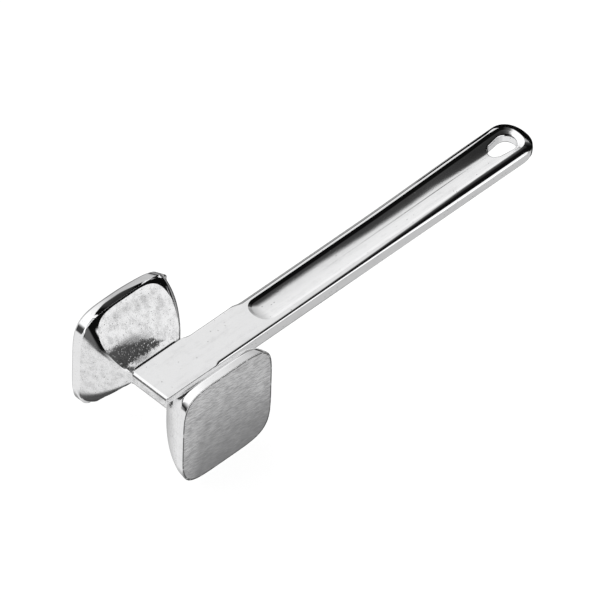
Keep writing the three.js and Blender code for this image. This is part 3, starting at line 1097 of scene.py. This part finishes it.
def bar_material(context):
    """Polished bar: faint streaks along it, a few specks and a slightly wavy surface.

    The web's front, the grip's lower side near the head and the channel's floor are a little rougher; a
    darker band low on the grip's side is painted shade, and dark lines of painted shade with dirt run in
    the web's joints and along its front's edges.
    """
    colours, bar = context.scene.mallet_finish, context.scene.mallet_bar
    material, kit = new_material("polished_casting")
    place = kit.place()
    across, along, up = kit.split(place)
    streaks = kit.noise(kit.scaled(place, STREAK_STRETCH), scale=0.35, detail=4.0, roughness=0.6)
    cloud = kit.noise(place, scale=0.25, detail=4.0, roughness=0.6)
    waves = kit.noise(place, scale=WAVE_SCALE, detail=1.0)
    grain = kit.noise(place, scale=1.8, detail=3.0, roughness=0.6)
    front = kit.fall(along, *FRONT_SKIN)
    # Painted shade: a darker band low on the grip's side, along its lower edge
    low_side_shade = kit.fall(up, *LOW_SIDE_TOP) * kit.ramp(up, *LOW_SIDE_BOTTOM)
    low_side_shade = low_side_shade * kit.fall(along, *LOW_SIDE_END) * kit.ramp(along, *LOW_SIDE_START)
    floor = kit.fall(abs(across), *FLOOR_SIDE) * kit.fall(abs(up), *FLOOR_HEIGHT)
    floor = floor * kit.ramp(along, *FLOOR_START)
    pits = specks(kit, place, scale=0.55, size=0.14, share=0.16)
    pits = kit.most(pits, specks(kit, place, scale=1.3, size=0.26, share=0.30) * front)
    # Painted shade with dirt: dark lines in the web's joints and at its front's edges
    shade_and_dirt = joint_shade_and_dirt(kit, bar, place, grain)
    dull_and_shade = kit.ramp(streaks * 0.6 + cloud * 0.4, *STREAK_LEVELS) * STREAK_DULLNESS
    dull_and_shade = kit.most(dull_and_shade, low_side_shade)
    dull_and_shade = kit.most(dull_and_shade, front * kit.ramp(cloud * 0.5 + grain * 0.5, *FRONT_LEVELS))
    colour = kit.blend(dull_and_shade, opaque(colours.bright), opaque(colours.dull_and_shade))
    colour = kit.blend(kit.most(pits, shade_and_dirt), colour, opaque(colours.speck_and_shade))
    grain_depth = BAR_GRAIN_DEPTH + floor * FLOOR_GRAIN_DEPTH
    height = waves * BAR_WAVE_DEPTH + grain * grain_depth - pits * PIT_DEPTH
    kit.metal(colour, POLISHED_ROUGHNESS + dull_and_shade * DULL_ROUGHNESS, height)
    return material


def painted_dark_patch(kit, place, cloud, grain):
    """Rough skin low on the far block's inner flanks, darkened as a painted dark reflection, with bright
    specks in it.
    """
    across, along, up = kit.split(place)
    height = abs(up) + (cloud - 0.5) * PATCH_CLOUD_SWAY + (grain - 0.5) * PATCH_GRAIN_SWAY
    top = PATCH_HEIGHT - along * PATCH_FALL - along * along * PATCH_BEND
    low = kit.fall(height - top, *PATCH_TOP) * kit.ramp(height, *PATCH_BOTTOM)
    bright = specks(kit, place, scale=1.1, size=0.46, share=0.50)
    return low * (1 - bright * PATCH_SPECK_SHARE) * kit.stored("flank") * kit.below(across, 0.0)


def block_material(context):
    """Mottled cast skin on the flanks, and polished metal where the polish share is high.

    It is dull where the worn share is high, and darker in a ribbon of painted shade beside the web on the
    near block; a dark seam of painted joint shade with dirt runs beside the web.
    """
    colours, bar = context.scene.mallet_finish, context.scene.mallet_bar
    material, kit = new_material("mottled_casting")
    place = kit.place()
    across, _, up = kit.split(place)
    skin = 1 - kit.stored("polish")
    cloud = kit.noise(place, scale=0.30, detail=4.0, roughness=0.65)
    grain = kit.noise(place, scale=1.7, detail=3.0, roughness=0.6)
    waves = kit.noise(place, scale=WAVE_SCALE, detail=1.0)
    pits = specks(kit, place, scale=0.85, size=0.22, share=0.35)
    fine_pits = specks(kit, place, scale=2.0, size=0.25, share=0.28)
    marks = kit.least(pits + fine_pits * FINE_PIT_SHARE, 1.0)
    off_web = abs(across) - mm(bar.web_half_width)
    on_top = kit.ramp(abs(up), *OVER_WEB_SIDE)
    # Painted shade with dirt: a dark broken seam where the block meets the web
    seam_shade = kit.fall(off_web, *SEAM_WIDTH) * kit.ramp(grain, *SEAM_BREAKS) * on_top
    near_block = kit.math("GREATER_THAN", across, 0.0)
    # Painted shade: a darker ribbon on the near block beside the web
    shade_ribbon = kit.fall(off_web, *SHADE_RIBBON_WIDTH) * near_block * on_top
    dark_reflection_patch = painted_dark_patch(kit, place, cloud, grain)
    skin_mottling = kit.below(across, 0.0) * FAR_SKIN_MOTTLING + SKIN_MOTTLING
    mottling = POLISHED_MOTTLING + skin * skin_mottling
    dull_and_shade = kit.ramp(cloud * 0.6 + grain * 0.4, *BLOCK_LEVELS) * mottling
    dull_and_shade = dull_and_shade + kit.stored("flank") * FLANK_DULLNESS
    dull_and_shade = kit.most(dull_and_shade, kit.most(kit.stored("worn"), shade_ribbon) * WORN_DULLNESS)
    colour = kit.blend(dull_and_shade, opaque(colours.bright), opaque(colours.dull_and_shade))
    colour = kit.blend(marks * (POLISHED_MARKS + skin * SKIN_MARKS), colour, opaque(colours.speck_and_shade))
    # Painted dark reflection on the far block's patch, and painted joint shade with dirt in the seam
    painted_darkness = kit.most(dark_reflection_patch * PAINTED_REFLECTION_DARKNESS, seam_shade * SEAM_SHADE_DARKNESS)
    colour = kit.blend(painted_darkness, colour, opaque(colours.speck_and_shade))
    rough = POLISHED_ROUGHNESS + skin * SKIN_ROUGHNESS + dull_and_shade * skin * DULL_ROUGHNESS
    rough = rough + dark_reflection_patch * PATCH_ROUGHNESS
    grain_depth = BLOCK_GRAIN_DEPTH + skin * SKIN_GRAIN_DEPTH
    height = waves * BLOCK_WAVE_DEPTH + grain * grain_depth - marks * skin * PIT_DEPTH
    kit.metal(colour, rough, height)
    return material


def ground_material(context):
    """Ground face: fine scratches along the handle, painted shade that darkens it low down and lightens it
    towards the front and the upper back, and a dark line round it of painted edge shade with a burr.
    """
    colours, head = context.scene.mallet_finish, context.scene.mallet_head
    material, kit = new_material("ground_face")
    place = kit.place()
    scratches = kit.noise(kit.scaled(place, SCRATCH_STRETCH), scale=1.3, detail=4.0, roughness=0.68)
    turned = kit.node(
        "ShaderNodeVectorRotate", {"rotation_type": "X_AXIS"}, {"Vector": place, "Angle": CROSSING_ANGLE})
    crossing = kit.scaled(turned.outputs[0], CROSSING_STRETCH)
    crossing = kit.noise(crossing, scale=1.35, detail=3.0, roughness=0.6)
    cloud = kit.noise(place, scale=0.12, detail=4.0, roughness=0.65)
    blotch = kit.noise(place, scale=0.30, detail=2.0)
    _, along, up = kit.split(place)
    across = abs(along - mm(head.middle)) / mm(head.face_half_width)
    above = abs(up) / mm(head.face_half_height)
    reach = (across ** head.face_power + above ** head.face_power) ** (1 / head.face_power)
    # Painted edge shade with a burr: a dark broken line round the face's edge
    breaks = kit.noise(place, scale=0.9, detail=2.0)
    edge_shade_and_burr = kit.ramp(reach, *EDGE_LINE_REACH) * kit.ramp(breaks, *EDGE_LINE_BREAKS)
    front = kit.fall(along, *FACE_FRONT)
    # Painted shade: the face is darker low down and lighter towards its front and its upper back
    swayed = up + cloud * (2 * FACE_CLOUD_SWAY) - FACE_CLOUD_SWAY
    level = kit.slope(swayed, FACE_HEIGHT, (0.0, 1.0)) ** TONE_POWER
    back = kit.ramp(along, *FACE_BACK) * kit.ramp(up, *FACE_BACK_HEIGHT)
    painted_shading = kit.least(level + front * FRONT_TONE + back * BACK_TONE + LOWEST_TONE, HIGHEST_TONE)
    texture = kit.ramp(scratches * 0.54 + crossing * 0.34 + blotch * 0.12, *SCRATCH_LEVELS)
    colour = kit.blend(painted_shading, opaque(colours.worn), opaque(colours.ground))
    colour = kit.blend((1 - texture) * SCRATCH_STRENGTH, colour, opaque(colours.worn))
    colour = kit.blend(edge_shade_and_burr * EDGE_SHADE_DARKNESS, colour, opaque(colours.speck_and_shade))
    height = scratches * SCRATCH_DEPTH + crossing * CROSSING_DEPTH
    kit.metal(colour, GROUND_ROUGHNESS - texture * GROUND_SMOOTHING, height)
    return material


class MALLET_OT_bar(bpy.types.Operator):
    """Builds the web and the handle with its channels and hang hole"""
    bl_idname = "mallet.bar"
    bl_label = "Bar"

    def execute(self, context):
        bar, channel = context.scene.mallet_bar, context.scene.mallet_channel
        piece = bar_body(bar)
        for side in (1, -1):
            cut(piece, front_bevel_cutter(bar, side))
            cut(piece, channel_cutter(bar, channel, side))
        cut(piece, hole_cutter(bar, channel))
        shade(piece.data, BAR_SHARP_ANGLE)
        weigh_normals(piece)
        finish_piece(piece, [bar_material(context)], "cast_aluminium", "handle_bar")
        return {"FINISHED"}


class MALLET_OT_blocks(bpy.types.Operator):
    """Builds the two flared blocks at the web's sides"""
    bl_idname = "mallet.blocks"
    bl_label = "Blocks"

    def execute(self, context):
        bar, head = context.scene.mallet_bar, context.scene.mallet_head
        for side, name, node, rim_start, dip in (
                (1, "smooth_block_casting", "smooth_block", head.smooth_start, 0.0),
                (-1, "toothed_block_casting", "toothed_block", head.toothed_start, head.root_dip)):
            grid, crease_ring = block_rings(bar, head, rim_start, dip)
            count = grid.shape[1]
            hidden = grid[:1].copy()
            hidden[:, :, 0] -= MILLIMETRE
            hidden[:, :, 2] *= HIDDEN_HEIGHT
            rings = np.concatenate([hidden, grid])
            beyond = (np.arange(len(rings)) > crease_ring + 1)[:, None]
            central = (crease_share() < crease_limit(head))[None, :]
            piece = loft(name, rings * np.array([side, 1.0, 1.0]))
            crease_points = range((crease_ring + 1) * count, (crease_ring + 2) * count)
            shade(piece.data, BLOCK_SHARP_ANGLE, crease_points)
            write_share(piece.data, "polish", beyond * central)
            write_share(piece.data, "flank", ~beyond * central)
            finish_piece(piece, [block_material(context)], "cast_aluminium", node)
        return {"FINISHED"}


class MALLET_OT_plates(bpy.types.Operator):
    """Builds the rims with the smooth ground face and the face under the teeth"""
    bl_idname = "mallet.plates"
    bl_label = "Striking plates"

    def execute(self, context):
        head = context.scene.mallet_head
        cast, ground = block_material(context), ground_material(context)
        front, back = corner_shares()
        rounding = head.toothed_round + head.front_corner_round * front + head.back_corner_round * back
        toothed_rings = rim_rings(
            head, head.toothed_face, (head.toothed_start, head.toothed_peak, TOOTHED_FLARE), rounding,
            head.back_corner_drop * back, (head.lip_length, head.lip_drop))
        smooth_rings = rim_rings(
            head, head.smooth_face, (head.smooth_start, head.smooth_peak, SMOOTH_FLARE),
            head.smooth_round, 0.0, (0.0, 0.0))
        smooth = loft("smooth_plate_casting", smooth_rings)
        toothed = loft("toothed_plate_casting", toothed_rings * np.array([-1.0, 1.0, 1.0]))
        for piece in (smooth, toothed):
            shade(piece.data, PLATE_SHARP_ANGLE)
            write_share(piece.data, "polish", np.ones(len(piece.data.vertices)))
        write_share(toothed.data, "worn", eased(toothed_rings[:, :, 1], *TOOTHED_WORN_STRETCH))
        smooth_worn = SMOOTH_WORN_SHARE * eased(smooth_rings[:, :, 1], *SMOOTH_WORN_STRETCH)
        write_share(smooth.data, "worn", smooth_worn)
        finish_piece(smooth, [cast, ground], "ground_aluminium", "smooth_striking_plate")
        cast_index, ground_index = 0, 1
        for face in smooth.data.polygons:
            is_end = len(face.vertices) > 4
            is_ground = is_end and face.center.x > head.plate_back + MILLIMETRE
            face.material_index = ground_index if is_ground else cast_index
        finish_piece(toothed, [cast], "cast_aluminium", "toothed_striking_plate")
        return {"FINISHED"}


def tooth_tree(material):
    """Geometry Nodes tree: a square field of pyramid teeth that point along -X."""
    tree = bpy.data.node_groups.new("tooth_field", "GeometryNodeTree")
    tree.interface.new_socket("Geometry", in_out="OUTPUT", socket_type="NodeSocketGeometry")
    tree.interface.new_socket("Rows", in_out="INPUT", socket_type="NodeSocketInt")
    for name in ("Pitch", "Height", "Tip", "Sink", "Face", "Middle"):
        tree.interface.new_socket(name, in_out="INPUT", socket_type="NodeSocketFloat")
    kit = NodeKit(tree)
    given = kit.node("NodeGroupInput").outputs
    rows, pitch, height, tip, sink, face, middle = (
        Field(kit, given[name]) for name in ("Rows", "Pitch", "Height", "Tip", "Sink", "Face", "Middle"))
    span = (rows - 1) * pitch
    grid = kit.node(
        "GeometryNodeMeshGrid", None,
        {"Size X": span, "Size Y": span, "Vertices X": rows, "Vertices Y": rows})
    corner = math.sqrt(0.5)
    tooth = kit.node(
        "GeometryNodeMeshCone", None,
        {"Vertices": 4, "Radius Top": tip * corner, "Radius Bottom": pitch * corner,
         "Depth": height + sink})
    turned = kit.node(
        "GeometryNodeTransform", None,
        {"Geometry": tooth.outputs["Mesh"], "Rotation": (0.0, 0.0, math.radians(45))})
    field = kit.node(
        "GeometryNodeInstanceOnPoints", None, {"Points": grid.outputs[0], "Instance": turned.outputs[0]})
    place = kit.node("ShaderNodeCombineXYZ", None, {0: sink - face, 1: middle, 2: 0.0})
    faced = kit.node(
        "GeometryNodeTransform", None,
        {"Geometry": field.outputs[0], "Translation": place.outputs[0],
         "Rotation": (0.0, math.radians(-90), 0.0)})
    real = kit.node("GeometryNodeRealizeInstances", None, {0: faced.outputs[0]})
    painted = kit.node(
        "GeometryNodeSetMaterial", None, {"Geometry": real.outputs[0], "Material": material})
    kit.output("NodeGroupOutput", "Geometry", painted.outputs[0])
    return tree


class MALLET_OT_teeth(bpy.types.Operator):
    """Builds the field of pyramid teeth on the far striking face"""
    bl_idname = "mallet.teeth"
    bl_label = "Teeth"

    def execute(self, context):
        teeth, head = context.scene.mallet_teeth, context.scene.mallet_head
        material = block_material(context)
        piece = mesh_object("tooth_field", [], [])
        modifier = piece.modifiers.new("teeth", "NODES")
        modifier.node_group = tooth_tree(material)
        values = {
            "Rows": teeth.rows, "Pitch": teeth.pitch, "Height": teeth.height, "Tip": teeth.tip,
            "Sink": teeth.sink, "Face": head.toothed_face, "Middle": head.middle}
        for item in modifier.node_group.interface.items_tree:
            if item.in_out == "INPUT":
                modifier[item.identifier] = values[item.name]
        bpy.context.view_layer.update()
        settle(piece)
        turn_outwards(piece.data)
        rounding = piece.modifiers.new("edge", "BEVEL")
        rounding.width = teeth.edge
        rounding.segments = 2
        rounding.limit_method = "ANGLE"
        settle(piece)
        shade(piece.data, TEETH_SHARP_ANGLE)
        finish_piece(piece, [material], "cast_aluminium", "toothed_striking_plate")
        return {"FINISHED"}


def overhead_light(kit, way, turn, back):
    """Softboxes to the left, to the right and far behind, with a grey edge and darkness between them.

    The turn is in degrees from straight up to the right, and back goes from -1 in front to 1 behind.
    """
    strength = kit.slope(kit.towards(way, SOFTBOX_MIDDLE), SOFTBOX_SPREAD, SOFTBOX_STRENGTHS)
    strength = strength + kit.fall(turn, *STRIPE_TURN) * STRIPE_LIGHT
    front = kit.fall(back, *FRONT_DEPTH)
    first, whole = LEFT_TURN_START
    left = kit.ramp(turn, first, front * LEFT_TURN_FRONT_DELAY + whole)
    left = left * kit.fall(turn, *LEFT_TURN_END) * kit.band(back, *LEFT_DEPTH, SOFT_DEPTH)
    right = kit.band(turn, *RIGHT_TURN, SOFT_TURN) * kit.band(back, *RIGHT_DEPTH, SOFT_DEPTH)
    behind = kit.ramp(back, *BEHIND_DEPTH_START) * kit.fall(back, *BEHIND_DEPTH_END)
    behind = behind * kit.band(turn, *BEHIND_TURN, SOFT_TURN)
    grey = kit.slope(turn, GREY_TURN_END, (1.0, 0.0)) * kit.ramp(turn, *GREY_TURN_START)
    grey = grey * kit.slope(back, GREY_DEPTH, GREY_STRENGTHS)
    return left * strength + kit.most(right, behind) * SIDE_LIGHT + grey + DARKEST_LIGHT


def underfoot_light(kit, right, back, up):
    """White paper as the metal sees it: bright in front and duller behind, with the tool's own shadow.

    It is dark at the front horizon, apart from a faint grey straight ahead.
    """
    level = kit.slope(back, PAPER_DEPTH, PAPER_STRENGTHS)
    right_side = kit.ramp(right, *PAPER_RIGHT_SIDE) * kit.ramp(back, *PAPER_RIGHT_DEPTH)
    level = level + right_side * PAPER_RIGHT_LIGHT
    level = level * (1 - kit.ramp(back, *PAPER_BACK_DEPTH) * PAPER_BACK_LOSS)
    near_horizon = kit.ramp(up, *HORIZON_HEIGHT)
    horizon = kit.fall(back, *HORIZON_DEPTH) * near_horizon
    straight_down = kit.fall(up, *SHADOW_HEIGHT)
    down_left = kit.ramp(back, *LEFT_SHADOW_DEPTH) * kit.fall(right, *LEFT_SHADOW_SIDE)
    down_left = down_left * kit.fall(up, *LEFT_SHADOW_HEIGHT)
    shadow = kit.most(straight_down, down_left)
    ahead = kit.fall(back, *AHEAD_DEPTH) * near_horizon
    ahead = ahead * kit.ramp(right, *AHEAD_SIDE, *AHEAD_STRENGTHS)
    paper = level * (1 - horizon) * (1 - shadow * SHADOW_LOSS)
    return paper * kit.fall(up, *PAPER_TOP) + ahead


def studio_world():
    """White backdrop for the camera; softboxes, darkness and paper for the metal."""
    world = bpy.data.worlds.new("studio")
    world.use_nodes = True
    kit = NodeKit(world.node_tree)
    way = kit.node("ShaderNodeTexCoord").outputs["Generated"]
    right, back, up = kit.split(way)
    turn = kit.math("ARCTAN2", right, up) * (180 / math.pi)
    light = overhead_light(kit, way, turn, back) + underfoot_light(kit, right, back, up)
    studio = kit.node("ShaderNodeBackground", None, {"Color": WHITE, "Strength": light})
    white = kit.node("ShaderNodeBackground", None, {"Color": WHITE, "Strength": 1.0})
    seen = kit.node("ShaderNodeLightPath").outputs["Is Camera Ray"]
    whole = kit.node("ShaderNodeMixShader", None, {0: seen, 1: studio.outputs[0], 2: white.outputs[0]})
    kit.output("ShaderNodeOutputWorld", "Surface", whole.outputs[0])
    return world


def floor_material():
    """White paper with a soft shadow; see-through from below, and for reflections, which see the studio."""
    material, kit = new_material("white_paper")
    rays = kit.node("ShaderNodeLightPath").outputs
    paper = kit.node("ShaderNodeBsdfDiffuse", None, {"Color": PAPER_COLOUR})
    shaded = kit.node("ShaderNodeBsdfDiffuse", None, {"Color": SHADED_COLOUR})
    white = kit.node("ShaderNodeEmission", None, {"Color": WHITE, "Strength": FLOOR_LIGHT})
    shown = kit.node("ShaderNodeAddShader", None, {0: shaded.outputs[0], 1: white.outputs[0]})
    clear = kit.node("ShaderNodeBsdfTransparent")
    top = kit.node(
        "ShaderNodeMixShader", None, {0: rays["Is Camera Ray"], 1: paper.outputs[0], 2: shown.outputs[0]})
    below = kit.node("ShaderNodeNewGeometry").outputs["Backfacing"]
    hidden = kit.most(Field(kit, below), Field(kit, rays["Is Glossy Ray"]))
    whole = kit.node("ShaderNodeMixShader", None, {0: hidden, 1: top.outputs[0], 2: clear.outputs[0]})
    kit.output("ShaderNodeOutputMaterial", "Surface", whole.outputs[0])
    return material


def flag_material():
    """Black card that only reflections see."""
    material, kit = new_material("black_flag")
    seen = kit.node("ShaderNodeLightPath").outputs["Is Glossy Ray"]
    clear = kit.node("ShaderNodeBsdfTransparent")
    black = kit.node("ShaderNodeBsdfDiffuse", None, {"Color": BLACK})
    whole = kit.node("ShaderNodeMixShader", None, {0: seen, 1: clear.outputs[0], 2: black.outputs[0]})
    kit.output("ShaderNodeOutputMaterial", "Surface", whole.outputs[0])
    return material


def stage_sheet(name, corners, material):
    """A flat sheet of the stage, which isn't part of the object."""
    sheet = mesh_object(name, corners, [(0, 1, 2, 3)])
    sheet.data.materials.append(material)


class MALLET_OT_stage(bpy.types.Operator):
    """Builds the white floor, the studio light and the camera"""
    bl_idname = "mallet.stage"
    bl_label = "Stage"

    def execute(self, context):
        look = context.scene.mallet_studio
        size, level = look.floor_size, SMOOTH_LOW.z
        floor_corners = [
            (-size, -size, level), (size, -size, level), (size, size, level), (-size, size, level)]
        stage_sheet("paper_floor", floor_corners, floor_material())
        left, right = -look.flag_reach, FLAG_RIGHT_SHARE * look.flag_reach
        place, top = look.flag_place, look.flag_height
        flag_corners = [
            (left, place, level), (right, place, level), (right, place, top), (left, place, top)]
        stage_sheet("black_flag", flag_corners, flag_material())
        context.scene.world = studio_world()
        lens = bpy.data.cameras.new("camera")
        lens.lens = look.lens
        lens.sensor_width = SENSOR_WIDTH
        lens.clip_start = NEAREST_SEEN
        lens.clip_end = FARTHEST_SEEN
        camera = bpy.data.objects.new("camera", lens)
        context.scene.collection.objects.link(camera)
        across, upwards = Vector(look.camera_right), Vector(look.camera_up)
        turned = Matrix((across, upwards, across.cross(upwards))).transposed().to_4x4()
        camera.matrix_world = Matrix.Translation(look.camera_place) @ turned
        context.scene.camera = camera
        context.scene.view_settings.view_transform = "Standard"
        return {"FINISHED"}


class MALLET_PT_panel(bpy.types.Panel):
    """Lists the mallet's pieces and sizes"""
    bl_idname = "MALLET_PT_panel"
    bl_label = "Meat Mallet"
    bl_space_type = "VIEW_3D"
    bl_region_type = "UI"
    bl_category = "Mallet"

    def draw(self, context):
        for operator in OPERATORS:
            self.layout.operator(operator.bl_idname)
        for name, group in SETTINGS.items():
            box = self.layout.box()
            box.label(text=group.__doc__)
            for setting in group.__annotations__:
                box.prop(getattr(context.scene, name), setting)


SETTINGS = {
    "mallet_bar": BarSizes,
    "mallet_channel": ChannelSizes,
    "mallet_head": HeadSizes,
    "mallet_teeth": TeethSizes,
    "mallet_finish": FinishColours,
    "mallet_studio": StudioLook,
}
OPERATORS = (MALLET_OT_bar, MALLET_OT_blocks, MALLET_OT_plates, MALLET_OT_teeth, MALLET_OT_stage)


def register():
    for group in (*SETTINGS.values(), *OPERATORS, MALLET_PT_panel):
        bpy.utils.register_class(group)
    for name, group in SETTINGS.items():
        setattr(bpy.types.Scene, name, PointerProperty(type=group))


def unregister():
    for name in SETTINGS:
        delattr(bpy.types.Scene, name)
    for group in reversed((*SETTINGS.values(), *OPERATORS, MALLET_PT_panel)):
        bpy.utils.unregister_class(group)


def main():
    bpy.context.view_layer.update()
    register()
    bpy.ops.mallet.bar()
    bpy.ops.mallet.blocks()
    bpy.ops.mallet.plates()
    bpy.ops.mallet.teeth()
    bpy.ops.mallet.stage()


if __name__ == "__main__":
    main()
